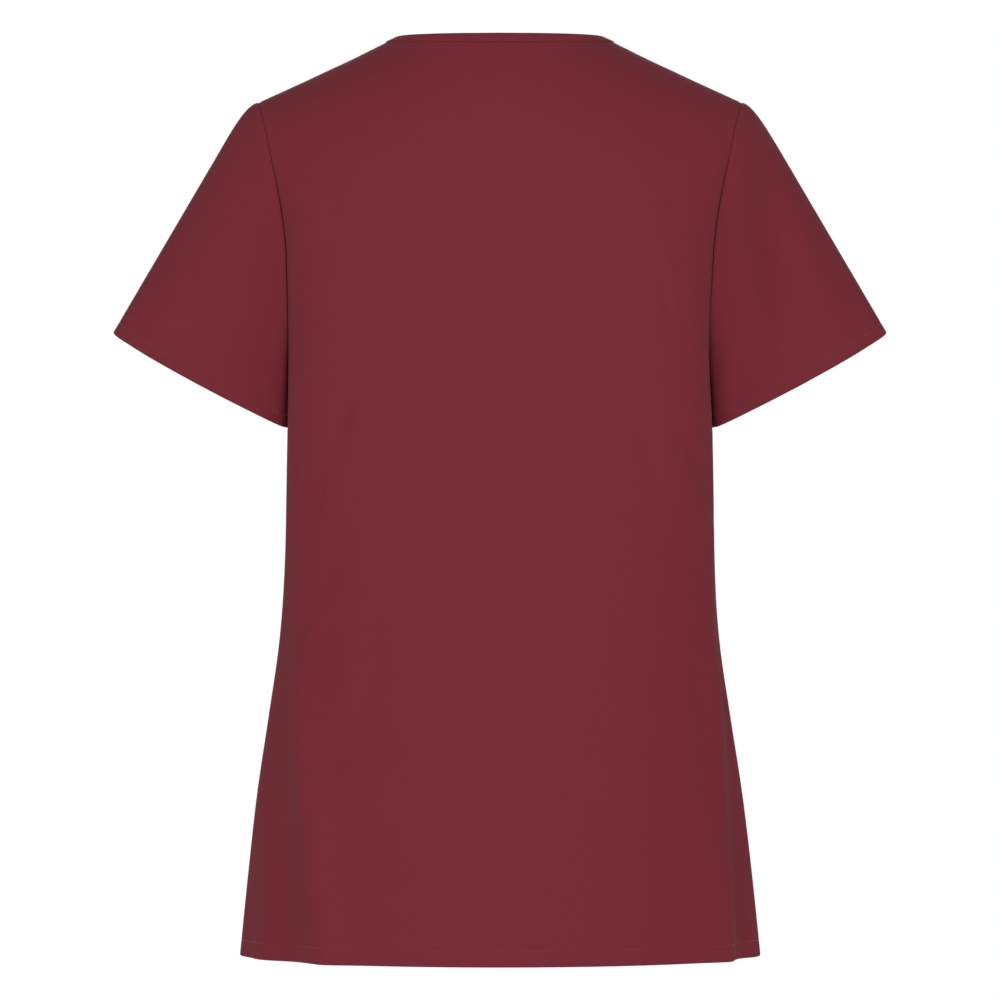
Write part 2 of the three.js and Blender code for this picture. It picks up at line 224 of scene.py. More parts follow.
# The shells, in millimetres
WALL = 1.0
HEM_WALL = 2.0
BAND_WALL = 2.2
BAND_PROUD = 0.8
SEAM_GAP = 0.06
SEAM_DIP = 0.4
SEAM_ROLL = 1.1
STITCH_DIP = 0.22
STITCH_ROLL = 0.9
NECK_STITCH = 0.4
HEM_STEP = 0.5  # how far a hem's double wall reaches past its stitches
CREASE_START = 12.0  # how far from the armhole a sleeve's creases are at full depth
BAND_SEAM_DIP = SEAM_DIP + BAND_PROUD * 0.6
BAND_ROLL_SHARE = 0.7  # the neckband's grooves are this share as wide as a panel's
SMOOTH_ANGLE = 50  # degrees past which an edge is sharp
SLOPE_STEP = 1e-3  # step in a surface's own parameters for its slopes

# The panels' rows and columns: heights of the rows round the hem in millimetres, the first even
# row, even rows below and above the underarm, and the shares that split the last steps
PANEL_HEM_HEIGHTS = np.array((1, 3, 6, 8.5, 10, 11, 11.6, 12, 12.4, 13, 14, 16))
PANEL_FIRST_ROW = 20
PANEL_LOW_ROWS, PANEL_HIGH_ROWS = 108, 56
PANEL_SIDE_SPLITS, PANEL_TOP_SPLITS = (0.6, 0.35, 0.18), (0.5,)

# The neckband's columns on each side, and its rows as shares of its width
BAND_COLUMNS = 45
BAND_SPREAD = 0.8
BAND_SHARES = np.concatenate([(0, 0.03, 0.07, 0.13), np.linspace(0.2, 0.88, 10)])

# A stitch: the rings along it and the sides round it, how far its middle rises and its ends sink
# in thread radii, and how blunt its ends are
STITCH_RINGS = np.linspace(0.04, 0.96, 5)
STITCH_SIDES = 6
STITCH_RISE, STITCH_SINK = 1.6, 0.9
STITCH_BLUNTNESS = 0.35
STITCH_REACH = 0.2  # millimetres each way for a stitch's direction
# Points along a panel's and a neckband's row of stitches, and where it ends as a share
PANEL_STITCH_POINTS, PANEL_STITCH_END = 420, 0.999
BAND_STITCH_POINTS, BAND_STITCH_END = 300, 0.985

# The sleeves' rings: points on each half of the armhole, rings as shares of the way to the hem,
# and rings in millimetres above it
ARMHOLE_COUNT = 46
SLEEVE_SHARES = np.concatenate(
    [(0, 0.002, 0.005, 0.009, 0.015, 0.023, 0.033, 0.045, 0.06, 0.08), np.linspace(0.1, 1, 46)[:-1]]
)
SLEEVE_HEM_DEPTHS = np.array((16, 13, 11, 10, 9.4, 9, 8.6, 8, 6.5, 4.5, 2.5, 1))

# The stage, in metres
FLOOR_RADIUS = 7.0
# Soft lamps round the top: degrees from +Y towards +X, degrees up, and the light that each one
# sheds on cloth that faces it, where 1 is as much as from a wholly white surround.
LAMPS = (
    ("behind", 0, 16, 0.38),
    ("behind_left", 50, 16, 0.185),
    ("behind_right", -50, 16, 0.175),
    ("beside_left", 110, 10, 0.05),
    ("beside_right", -110, 10, 0.05),
    ("before", 180, 15, 0.47),
)
LAMP_DISTANCE = 4.0
LAMP_SIZE = 2.0
SENSOR_MM = 36.0
PICTURE_PIXELS = 1000


def srgb(*values):
    """Linear colour of an sRGB colour given in steps of 0 to 255."""
    c = np.array(values, float) / 255
    linear = np.where(c <= 0.04045, c / 12.92, ((c + 0.055) / 1.055) ** 2.4)
    return tuple(float(v) for v in linear)


def read(rows, key, at, column):
    """A column between its rows: a cubic whose slope at each row is that between its neighbours."""
    keys, values = rows[key], rows[column]
    at = np.asarray(at, float)
    last = len(keys) - 1
    near = np.arange(last + 1)
    before, after = np.maximum(near - 1, 0), np.minimum(near + 1, last)
    slopes = (values[after] - values[before]) / (keys[after] - keys[before])
    i = np.clip(np.searchsorted(keys, at, side="right") - 1, 0, last - 1)
    span = keys[i + 1] - keys[i]
    t = np.clip((at - keys[i]) / span, 0, 1)
    ends = values[i] * (1 + 2 * t) * (1 - t) ** 2 + values[i + 1] * (3 - 2 * t) * t**2
    return ends + span * (slopes[i] * t * (1 - t) ** 2 + slopes[i + 1] * t**2 * (t - 1))


def power(value, z):
    """The outline's power: |value| to the 2 / round."""
    return np.abs(value) ** (2 / read(BODY, "z", z, "round"))


def shoulder_z(x):
    return read(SHOULDER_LINE, "x", np.abs(x), "z")


def openness(x, z):
    """Share of the depth left at a height: (1 - rise^r)^(1/r), with rise 0 at the underarm and 1 on
    the shoulder line."""
    rise = np.clip((z - UNDERARM_Z) / (shoulder_z(x) - UNDERARM_Z), 0, 1)
    return (1 - rise**SHOULDER_ROUNDNESS) ** (1 / SHOULDER_ROUNDNESS)


def body_depth(z, angle):
    """widest + (back - widest) * cos^p behind, and widest - (front + widest) * |cos|^p in front."""
    widest = read(BODY, "z", z, "widest")
    reach = power(np.cos(angle), z)
    behind = widest + (read(BODY, "z", z, "back") - widest) * reach
    before = widest - (read(BODY, "z", z, "front") + widest) * reach
    return np.where(np.cos(angle) > 0, behind, before)


def fold_out(rows, side, angle, z):
    """Sum of depth * exp(-off^2) * sin(pi * along)^1.5 over the folds of the point's side."""
    degrees = np.degrees(angle)
    out = np.zeros(np.broadcast(side, degrees, z).shape)
    for own, at, lean, width, low, high, depth in zip(*rows.values()):
        along = np.clip((z - low) / (high - low), 0, 1)
        off = (degrees - at - lean * along) / width
        bump = depth * np.exp(-(off**2)) * np.sin(np.pi * along) ** 1.5
        out += np.where(side == own, bump, 0)
    return out


def body_point(side, half, angle, z):
    """A point of the panels: x = half * sin^p(angle), y = depth(angle) * openness, moved out by the
    folds and creases along (sin, cos) of the angle."""
    x = half * power(np.sin(angle), z)
    left_open = openness(x, z)
    out = (fold_out(FOLDS, side, angle, z) + fold_out(CREASES, side, angle, z)) * left_open
    y = body_depth(z, angle) * left_open + out * np.cos(angle)
    return np.stack(np.broadcast_arrays(side * (x + out * np.sin(angle)), y, z), -1)


def full_half(x, turn):
    """Half width of the section that is x wide at a turn in degrees."""
    return x / power(np.sin(np.radians(turn)), SHOULDER_Z)


def angle_at(x, half):
    """Angle at which a section of that half width is x wide, near the shoulder."""
    round_there = read(BODY, "z", SHOULDER_Z, "round")
    return np.arcsin(np.minimum((x / half) ** (round_there / 2), 1))


def neck_z(front, across, band):
    """Height of the neck edge: low + (ridge - low) * across for the V in front, which is straight,
    and low + (ridge - low) * across^2 for the shallow curve behind."""
    ridge = shoulder_z(NECK_X - BAND_WIDTH_X * band)
    if front:
        low = V_SEAM_Z + (V_TOP_Z - V_SEAM_Z) * band
        return low + (ridge - low) * across
    low = BACK_NECK_Z + (BACK_NECK_TOP_Z - BACK_NECK_Z) * band
    return low + (ridge - low) * across**2


def past_neck(u):
    """Where a panel's column lies on the neck point or the shoulder beyond it."""
    return np.abs(u) > NECK_SHARE - ROUNDING


def panel_point(front, u, v):
    """A point of a panel: u from -1 to 1 across it, and v from the hem (0) past the underarm (1) to
    the neck and shoulder (2). Its shoulder edge lies at y = 0, where back and front meet."""
    armhole = FRONT_ARMHOLE if front else BACK_ARMHOLE
    side = np.where(u < 0, -1.0, 1.0)
    i = np.abs(u)
    in_neck = np.clip(i / NECK_SHARE, 0, 1)
    along_shoulder = np.clip((i - NECK_SHARE) / (1 - NECK_SHARE), 0, 1)
    across = np.sin(in_neck * math.pi / 2)
    shoulder_x = NECK_X + (SHOULDER_X - NECK_X) * along_shoulder
    top_x = np.where(i < NECK_SHARE, NECK_X * across, shoulder_x)
    end_turn = armhole["turn"][-1]
    share = angle_at(top_x, full_half(armhole["x"][-1], end_turn)) / math.radians(end_turn)
    share = np.where(i > 1, i, share)

    low = np.clip(v, 0, 1)
    hem_turn = 180 - HEM_TURN if front else HEM_TURN
    low_turn = hem_turn + (armhole["turn"][0] - hem_turn) * low
    low_angle = np.radians(low_turn) * (i + (share - i) * low)
    low_z = low * UNDERARM_Z
    body_half = read(BODY, "z", low_z, "half")
    armhole_half = full_half(armhole["x"][0], armhole["turn"][0])
    low_half = body_half + (armhole_half - body_half) * low**UNDERARM_EASE

    rise = np.clip(v - 1, 0, 1)
    turn = read(armhole, "rise", rise, "turn")
    high_half = full_half(read(armhole, "rise", rise, "x"), turn)
    top = np.where(i < NECK_SHARE, neck_z(front, across, 0), shoulder_z(top_x))
    high_z = UNDERARM_Z + (top - UNDERARM_Z) * rise

    upper = v > 1
    z = np.where(upper, high_z, low_z)
    angle = np.where(upper, np.radians(turn) * share, low_angle)
    half = np.where(upper, high_half, low_half)
    point = body_point(side, half, math.pi - angle if front else angle, z)
    point[..., 1] = np.where(past_neck(u) & (v >= 2), 0, point[..., 1])
    return point


def band_point(front, u, band):
    """A point of the neckband: u from -1 to 1 between the neck points, band from 0 at its seam to 1
    at its edge, on the panel's surface carried on."""
    armhole = FRONT_ARMHOLE if front else BACK_ARMHOLE
    side = np.where(u < 0, -1.0, 1.0)
    across = np.sin(np.abs(u) * math.pi / 2)
    x = (NECK_X - BAND_WIDTH_X * band) * across
    half = full_half(armhole["x"][-1], armhole["turn"][-1])
    angle = angle_at(x, half)
    angle = math.pi - angle if front else angle
    return body_point(side, half, angle, neck_z(front, across, band))


def unit(vectors):
    return vectors / np.maximum(np.linalg.norm(vectors, axis=-1, keepdims=True), 1e-12)


def normals_of(point, a, b, low_b, high_b, flip):
    """Direction out of a surface point(a, b): the cross product of its slopes along a and b."""
    along = point(a + SLOPE_STEP, b) - point(a - SLOPE_STEP, b)
    above, below = np.minimum(b + SLOPE_STEP, high_b), np.maximum(b - SLOPE_STEP, low_b)
    up = point(a, above) - point(a, below)
    return unit(np.cross(along, up)) * (-1 if flip else 1)


def lengths(points, axis):
    """Cloth length from the first point along an axis of a grid."""
    steps = np.linalg.norm(np.diff(points, axis=axis), axis=-1)
    start = np.zeros_like(np.take(steps, [0], axis=axis))
    return np.concatenate([start, np.cumsum(steps, axis=axis)], axis=axis)


def to_frame(points):
    """From millimetres above the hem to metres from the origin between the neck points."""
    moved = np.array(points, float)
    moved[..., 2] -= float(shoulder_z(NECK_X))
    return moved * MM


def mesh_object(name, points, faces, uv=None):
    """A smooth mesh from points in millimetres, with a UV map in metres of cloth if it has one."""
    mesh = bpy.data.meshes.new(name)
    mesh.from_pydata(to_frame(points).reshape(-1, 3).tolist(), [], faces)
    if uv is not None:
        layer = mesh.uv_layers.new(name="cloth")
        layer.data.foreach_set("uv", (np.asarray(uv, np.float32) * MM).ravel())
    mesh.shade_smooth()
    mesh.set_sharp_from_angle(angle=math.radians(SMOOTH_ANGLE))
    mesh.validate()
    obj = bpy.data.objects.new(name, mesh)
    bpy.context.scene.collection.objects.link(obj)
    return obj


def grid_faces(rows, columns, wrap_rows, wrap_columns, flip):
    """Quads of a grid as (row, column) corner pairs, so that wrapped edges keep their own UV."""
    r, c = np.meshgrid(
        np.arange(rows if wrap_rows else rows - 1),
        np.arange(columns if wrap_columns else columns - 1),
        indexing="ij",
    )
    corners = [(r, c), (r, c + 1), (r + 1, c + 1), (r + 1, c)]
    if flip:
        corners.reverse()
    rr = np.stack([a for a, _ in corners], -1).reshape(-1, 4)
    cc = np.stack([b for _, b in corners], -1).reshape(-1, 4)
    return rr, cc


def loop_length(outer, across):
    """Mean cloth length all round a tube's rows, from the first point round and back to it."""
    closing = np.linalg.norm(outer[:, -1] - outer[:, 0], axis=-1) + across[:, -1]
    return float(closing.mean())


def shell_object(name, outer, normals, thickness, across, up, fold, loop, flip):
    """A closed shell on a grid whose row 0 is its folded hem and whose last row is a seam.

    Its profile runs down the outer face, round the hem on a half circle of diameter fold, and up
    the inner face, thickness inside the outer one. across and up are the cloth lengths for the UV
    map. A loop is a tube, and any other grid gets a cap down each of its sides.
    """
    rows, columns = outer.shape[:2]
    below = unit(outer[0] - outer[1])
    radius = fold / 2
    turns = np.radians(np.arange(30, 180, 30))[:, None, None]
    hem = outer[0] + radius * (below * np.sin(turns) - normals[0] * (1 - np.cos(turns)))
    inner = outer - normals * thickness
    points = np.concatenate([outer[::-1], hem, inner])
    extra = len(turns)
    hem_up = up[0] - radius * turns[..., 0]
    uv_up = np.concatenate([up[::-1], hem_up, up[0] - math.pi * radius - (up - up[0])])
    uv_across = np.concatenate([across[::-1], np.repeat(across[:1], extra, 0), across])
    total = points.shape[0]
    rr, cc = grid_faces(total, columns, True, loop, not flip)
    faces = (rr % total) * columns + cc % columns
    if loop:
        uv_across = np.concatenate([uv_across, uv_across[:, :1] + loop_length(outer, across)], 1)
        uv_up = np.concatenate([uv_up, uv_up[:, :1]], 1)
    uv = np.stack([uv_across[rr % total, cc], uv_up[rr % total, cc]], -1).reshape(-1, 2)
    faces = faces.tolist()
    if not loop:
        k = np.arange(rows - 1)
        for column, turned in ((0, flip), (columns - 1, not flip)):
            quad = np.stack([k, k + 1, total - 2 - k, total - 1 - k], -1)
            if turned:
                quad = quad[:, ::-1]
            cap = list(range(rows - 1, rows + extra + 1))
            if not turned:
                cap.reverse()
            uv_all = np.stack([uv_across[:, column], uv_up[:, column]], -1)
            faces += (quad * columns + column).tolist()
            faces.append([row * columns + column for row in cap])
            uv = np.concatenate([uv, uv_all[quad.ravel()], uv_all[cap]])
    return mesh_object(name, points, faces, uv)


def groove(distance, depth, roll):
    """depth * exp(-(distance / roll)^2), for a seam or a row of stitches pulled into the cloth."""
    return depth * np.exp(-((distance / roll) ** 2))


def fine_steps(count, end_steps):
    """Even steps from 0 to 1, with the last of them split at these shares of it."""
    even = np.linspace(0, 1, count + 1)
    return np.concatenate([even[:-1], 1 - np.array(end_steps) / count, [1]])


def panel_grid(front):
    """Rows and columns of a panel, closer together at its hem, stitches and seams."""
    half = fine_steps(PANEL_COLUMNS, PANEL_SIDE_SPLITS)
    u = np.concatenate([-half[:0:-1], half])
    low = np.linspace(PANEL_FIRST_ROW / UNDERARM_Z, 1, PANEL_LOW_ROWS)
    steps = fine_steps(PANEL_HIGH_ROWS, PANEL_TOP_SPLITS)
    rise = np.sin(steps * math.pi / 2) ** (2 / SHOULDER_ROUNDNESS)
    v = np.concatenate([PANEL_HEM_HEIGHTS / UNDERARM_Z, low, 1 + rise[1:]])
    return np.meshgrid(u, v)


def panel(name, front):
    """The back or the front: a thin shell with a turned-up hem and grooves along its seams."""
    u, v = panel_grid(front)

    def point(a, b):
        return panel_point(front, a, b)

    points = point(u, v)
    normals = normals_of(point, u, v, 0.0, 2.0, not front)
    ridge = past_neck(u[-1])[:, None]
    level = unit(normals[-1] * (1, 0, 1))
    normals[-1] = np.where(ridge, level, normals[-1])

    across = lengths(points, 1)
    across -= across[:, [across.shape[1] // 2]]
    up = lengths(points, 0)
    to_side = np.abs(np.where(u < 0, across[:, [0]], across[:, [-1]])) - np.abs(across)
    to_top = up[-1] - up
    dip = groove(to_side, SEAM_DIP, SEAM_ROLL) + groove(to_top, SEAM_DIP, SEAM_ROLL)
    dip = dip + groove(points[..., 2] - HEM_DEPTH, STITCH_DIP, STITCH_ROLL)
    gap = SEAM_GAP / 2
    points[:, 0] += unit(points[:, 1] - points[:, 0]) * gap
    points[:, -1] += unit(points[:, -2] - points[:, -1]) * gap
    points[-1] += unit(points[-2] - points[-1]) * gap
    outer = points - normals * dip[..., None]
    wall = np.where(points[..., 2] < HEM_DEPTH + HEM_STEP, HEM_WALL, WALL)
    thickness = wall[..., None] - dip[..., None]
    return shell_object(name, outer, normals, thickness, across, up, HEM_WALL, False, not front)


def armhole_edge(side, count):
    """A side's armhole seam, turned to +X, as a closed loop: up the back, over the shoulder and
    down the front."""
    rise = np.sin(np.linspace(0, 1, count + 1) * math.pi / 2) ** (2 / SHOULDER_ROUNDNESS)
    end = np.full_like(rise, side)
    edges = [panel_point(front, end, 1 + rise) for front in (False, True)]
    return np.concatenate([edges[0], edges[1][1:-1][::-1]]) * (side, 1, 1)


def sleeve_rings(side, shares, hem_depths):
    """Rings of a sleeve from the armhole to the hem, turned to +X, with the turn round the tube,
    the side of it that each point is on (1 at the back), and the cloth's length to the hem.

    Each point of the armhole goes straight to its place on the hem's outline. It starts on the
    seam and rolls out to that line by lift * (1 - exp(-step / roll) * (1 - step)). The first rings
    lie at shares of the way to the first hem depth, and the others at those depths above the hem.
    """
    edge = armhole_edge(side, ARMHOLE_COUNT)
    rise = (edge[:, 2] - UNDERARM_Z) / (float(shoulder_z(SHOULDER_X)) - UNDERARM_Z)
    length = np.concatenate([[0], np.cumsum(np.linalg.norm(np.roll(edge, -1, 0) - edge, axis=1))])
    back = np.arange(len(edge)) <= ARMHOLE_COUNT
    top, whole = length[ARMHOLE_COUNT], length[-1]
    turn = math.pi * np.where(back, length[:-1] / top, (whole - length[:-1]) / (whole - top))
    facing = np.where(back, 1.0, -1.0)
    middle = (SLEEVE_HEM_OUTER + SLEEVE_HEM_INNER) / 2
    along = SLEEVE_HEM_OUTER - middle
    down = unit(np.array((along[2], 0, -along[0])))
    hem = middle - np.cos(turn)[:, None] * along
    bulge = np.where(back, SLEEVE_HEM_BEHIND, -SLEEVE_HEM_BEFORE)
    hem[:, 1] += bulge * np.sin(turn) ** SLEEVE_HEM_SQUARENESS
    hem += SLEEVE_HEM_BOW * np.sin(turn)[:, None] * down
    lift_x, lift_z = SLEEVE_LIFT_X * rise**4, SLEEVE_LIFT_Z * rise**4
    lift = np.stack([lift_x, facing * SLEEVE_PUFF * np.sin(turn) ** 2, lift_z], -1)
    rolled = edge + (SEAM_GAP, 0, 0) + lift
    span = np.linalg.norm(hem - rolled, axis=1)
    step = np.concatenate(
        [shares[:, None] * (1 - hem_depths[0] / span), 1 - hem_depths[:, None] / span]
    )[..., None]
    rings = rolled + (hem - rolled) * step - lift * np.exp(-step / HEAD_ROLL) * (1 - step)
    return rings, turn, facing, (1 - step[..., 0]) * span


def ring_normals(rings):
    """Direction out of closed rings that run from the armhole to the hem."""
    around = np.roll(rings, -1, axis=1) - np.roll(rings, 1, axis=1)
    down = np.gradient(rings, axis=0)
    return unit(np.cross(around, down))


def crease_out(rows, side, facing, x, z):
    """Sum of depth * exp(-(off / width)^2) * sin(pi * along) over straight creases with a slight
    bow, where along and off are measured on the line from start to end."""
    out = np.zeros_like(x)
    for own, face, x0, z0, x1, z1, bow, width, depth in zip(*rows.values()):
        if own != side:
            continue
        reach = math.hypot(x1 - x0, z1 - z0)
        dx, dz = (x1 - x0) / reach, (z1 - z0) / reach
        along = np.clip(((x - x0) * dx + (z - z0) * dz) / reach, 0, 1)
        off = (x - x0) * dz - (z - z0) * dx - bow * np.sin(math.pi * along)
        bump = depth * np.exp(-((off / width) ** 2)) * np.sin(math.pi * along)
        out += np.where(facing == face, bump, 0)
    return out


def sleeve_surface(side):
    """The outer face of a sleeve on its own side, the directions out of it, the wall at each point,
    and the cloth's length round and down it, all from the armhole to the hem."""
    rings, turn, facing, from_hem = sleeve_rings(side, SLEEVE_SHARES, SLEEVE_HEM_DEPTHS)
    down = lengths(rings, 0)
    across = lengths(rings, 1)
    clear = np.sin(turn) ** 0.5 * np.clip(down / CREASE_START, 0, 1)
    out = crease_out(SLEEVE_CREASES, side, facing, rings[..., 0], rings[..., 2]) * clear
    rings = rings + ring_normals(rings) * out[..., None]
    normals = ring_normals(rings)
    dip = groove(down, SEAM_DIP, SEAM_ROLL)
    dip = dip + groove(from_hem - SLEEVE_HEM_DEPTH, STITCH_DIP, STITCH_ROLL)
    outer = rings - normals * dip[..., None]
    wall = (np.where(from_hem < SLEEVE_HEM_DEPTH + HEM_STEP, HEM_WALL, WALL) - dip)[..., None]
    mirror = np.array((side, 1, 1))
    return outer * mirror, normals * mirror, wall, across, down


def sleeve(name, side):
    """A set-in sleeve: a tube with a turned-up hem, and its head rolled out of the armhole seam."""
    outer, normals, wall, across, down = sleeve_surface(side)
    up = slice(None, None, -1)
    return shell_object(
        name, outer[up], normals[up], wall[up], across[up], -down[up], HEM_WALL, True, side > 0
    )


def neckband(name, front):
    """A folded strip: its profile is a closed loop, out of the seam, round the fold and back
    inside."""
    half = np.sin(np.linspace(0, 1, BAND_COLUMNS) * math.pi / 2) ** BAND_SPREAD
    u, band = np.meshgrid(np.concatenate([-half[:0:-1], half]), BAND_SHARES)

    def point(a, b):
        return band_point(front, a, b)

    points = point(u, band)
    normals = normals_of(point, u, band, 0.0, 1.0, not front)
    for column in (0, -1):
        normals[:, column] = unit(normals[:, column] * (1, 0, 1))
    across = lengths(points, 1)
    up = lengths(points, 0)
    dip = groove(up, BAND_SEAM_DIP, SEAM_ROLL * BAND_ROLL_SHARE)
    to_stitch = (band - NECK_STITCH) * up[-1] / BAND_SHARES[-1]
    dip = dip + groove(to_stitch, STITCH_DIP, STITCH_ROLL * BAND_ROLL_SHARE)
    gap = SEAM_GAP / 2
    points[:, 0] += unit(points[:, 1] - points[:, 0]) * gap
    points[:, -1] += unit(points[:, -2] - points[:, -1]) * gap
    points[0] += unit(points[1] - points[0]) * gap
    outer = points + normals * (BAND_PROUD - dip)[..., None]
    wall = (BAND_WALL - dip)[..., None]
    order = slice(None, None, -1)
    return shell_object(
        name, outer[order], normals[order], wall[order], across[order], -up[order], BAND_WALL,
        False, front,
    )


def stitch_row(name, path, out, pitch, gap, radius, closed=False):
    """Separate stitches along a line on the cloth.

    Each one spans pitch - gap of the line's length. Its middle line rises as sin(pi * t) from just
    under the cloth to its own radius above it, and it narrows as sin(pi * t)^0.35 towards its ends.
    """
    if closed:
        path, out = np.concatenate([path, path[:1]]), np.concatenate([out, out[:1]])
    length = np.concatenate([[0], np.cumsum(np.linalg.norm(np.diff(path, axis=0), axis=1))])
    count = int(length[-1] // pitch)
    t = STITCH_RINGS
    at = (np.arange(count)[:, None] + 0.5) * length[-1] / count + (t - 0.5) * (pitch - gap)

    def along(values, where):
        return np.stack([np.interp(where, length, values[:, k]) for k in range(3)], -1)

    centre = along(path, at)
    normal = unit(along(out, at))
    forward = unit(along(path, at + STITCH_REACH) - along(path, at - STITCH_REACH))
    sideways = unit(np.cross(normal, forward))
    swell = np.sin(math.pi * t)
    centre = centre + normal * (radius * (STITCH_RISE * swell - STITCH_SINK))[None, :, None]
    turn = np.linspace(0, 2 * math.pi, STITCH_SIDES, endpoint=False)
    ring = radius * swell[None, :, None, None] ** STITCH_BLUNTNESS
    points = centre[:, :, None] + ring * (
        sideways[:, :, None] * np.cos(turn)[:, None] + normal[:, :, None] * np.sin(turn)[:, None]
    )
    stitches, rings, sides = points.shape[:3]
    rr, cc = grid_faces(rings, sides, False, True, False)
    one = rr * sides + cc % sides
    first = np.arange(stitches)[:, None, None] * rings * sides
    faces = (one[None] + first).reshape(-1, 4).tolist()
    ends = np.stack([np.arange(sides)[::-1], (rings - 1) * sides + np.arange(sides)])
    faces += (ends[None] + first).reshape(-1, sides).tolist()
    return mesh_object(name, points, faces)


def panel_stitch_line(front):
    """Points and directions out of the cloth along a panel's hem stitches."""
    u = np.linspace(-PANEL_STITCH_END, PANEL_STITCH_END, PANEL_STITCH_POINTS)
    v = np.full_like(u, HEM_DEPTH / UNDERARM_Z)

    def point(a, b):
        return panel_point(front, a, b)

    out = normals_of(point, u, v, 0.0, 2.0, not front)
    return point(u, v) - out * STITCH_DIP, out


def band_stitch_line(front):
    """Points and directions out of the cloth along a neckband's stitches."""
    u = np.linspace(-BAND_STITCH_END, BAND_STITCH_END, BAND_STITCH_POINTS)
    band = np.full_like(u, NECK_STITCH)

    def point(a, b):
        return band_point(front, a, b)

    out = normals_of(point, u, band, 0.0, 1.0, not front)
    return point(u, band) + out * (BAND_PROUD - STITCH_DIP), out


def cuff_stitch_line(side):
    """Points and directions out of the cloth along a sleeve's hem stitches."""
    outer, normals = sleeve_surface(side)[:2]
    ring = len(SLEEVE_SHARES) + int(np.argmin(np.abs(SLEEVE_HEM_DEPTHS - SLEEVE_HEM_DEPTH)))
    return outer[ring], normals[ring]


def joined(name, objects):
    """One object out of several, at the origin."""
    for obj in bpy.context.selected_objects:
        obj.select_set(False)
    for obj in objects:
        obj.select_set(True)
    bpy.context.view_layer.objects.active = objects[0]
    bpy.ops.object.join()
    objects[0].name = name
    return objects[0]


def node_maker(tree):
    def make(kind, inputs=(), **settings):
        node = tree.nodes.new(kind)
        for key, value in settings.items():
            setattr(node, key, value)
        for key, value in dict(inputs).items():
            if isinstance(value, bpy.types.NodeSocket):
                tree.links.new(value, node.inputs[key])
            else:
                node.inputs[key].default_value = value
        return node

    return make


def math_node(make, operation, *values):
    return make("ShaderNodeMath", enumerate(values), operation=operation).outputs[0]


def weave_group():
    """Height of a fine twill: warp and weft threads cross with a float that steps diagonally."""
    group = bpy.data.node_groups.new("twill_weave", "ShaderNodeTree")
    for name, kind, direction in (
        ("Cloth", "NodeSocketVector", "INPUT"),
        ("Threads per metre", "NodeSocketFloat", "INPUT"),
        ("Height", "NodeSocketFloat", "OUTPUT"),
    ):
        group.interface.new_socket(name=name, in_out=direction, socket_type=kind)
    make = node_maker(group)
    entry = make("NodeGroupInput")
    place = make("ShaderNodeSeparateXYZ", {0: entry.outputs["Cloth"]})
    threads = math_node(make, "MULTIPLY", entry.outputs["Threads per metre"], 2 * math.pi)
    across = math_node(make, "MULTIPLY", place.outputs[0], threads)
    up = math_node(make, "MULTIPLY", place.outputs[1], threads)
    warp = math_node(make, "SINE", across)
    weft = math_node(make, "SINE", up)
    diagonal = math_node(make, "DIVIDE", math_node(make, "ADD", across, up), 3.0)
    over = math_node(make, "SINE", diagonal)
    share = math_node(make, "MULTIPLY_ADD", over, 0.5, 0.5)
    rib = math_node(make, "MULTIPLY", warp, share)
    rest = math_node(make, "MULTIPLY", weft, math_node(make, "SUBTRACT", 1.0, share))
    height = math_node(make, "ADD", rib, rest)
    leave = make("NodeGroupOutput")
    group.links.new(height, leave.inputs["Height"])
    return group


def shade_group():
    """The dye's slight unevenness: broad and fine noise that lightens or darkens a colour."""
    group = bpy.data.node_groups.new("dye_shade", "ShaderNodeTree")
    for name, kind, direction in (
        ("Dye", "NodeSocketColor", "INPUT"),
        ("Broad", "NodeSocketFloat", "INPUT"),
        ("Fine", "NodeSocketFloat", "INPUT"),
        ("Colour", "NodeSocketColor", "OUTPUT"),
        ("Roughness", "NodeSocketFloat", "OUTPUT"),
    ):
        group.interface.new_socket(name=name, in_out=direction, socket_type=kind)
    make = node_maker(group)
    entry = make("NodeGroupInput")
    place = make("ShaderNodeTexCoord").outputs["Object"]
    broad = make("ShaderNodeTexNoise", {"Vector": place, "Scale": 16.0, "Detail": 3.0})
    fine = make("ShaderNodeTexNoise", {"Vector": place, "Scale": 900.0, "Detail": 2.0})

    def swing(noise, amount):
        centred = math_node(make, "SUBTRACT", noise.outputs["Fac"], 0.5)
        return math_node(make, "MULTIPLY", centred, amount)

    wide = swing(broad, entry.outputs["Broad"])
    near = swing(fine, entry.outputs["Fine"])
    value = math_node(make, "ADD", math_node(make, "ADD", wide, near), 1.0)
    tone = make("ShaderNodeHueSaturation", {"Value": value, "Color": entry.outputs["Dye"]})
    rough = math_node(make, "MULTIPLY_ADD", fine.outputs["Fac"], 0.08, 0.82)
    leave = make("NodeGroupOutput")
    group.links.new(tone.outputs["Color"], leave.inputs["Colour"])
    group.links.new(rough, leave.inputs["Roughness"])
    return group


def group_named(name, builder):
    return bpy.data.node_groups.get(name) or builder()


def dyed_material(name, dye, broad, fine, finish):
    """A material of this name: the dye's shade under a Principled BSDF with what finish adds."""
    material = bpy.data.materials.get(name)
    if material:
        return material
    material = bpy.data.materials.new(name)
    material.use_nodes = True
    tree = material.node_tree
    tree.nodes.clear()
    make = node_maker(tree)
    shade = make("ShaderNodeGroup", node_tree=group_named("dye_shade", shade_group))
    shade.inputs["Dye"].default_value = (*dye, 1)
    shade.inputs["Broad"].default_value = broad
    shade.inputs["Fine"].default_value = fine
    surface = make(
        "ShaderNodeBsdfPrincipled",
        {"Base Color": shade.outputs["Colour"], **finish(make, shade)},
    )
    result = make("ShaderNodeOutputMaterial")
    tree.links.new(surface.outputs[0], result.inputs[0])
    return material


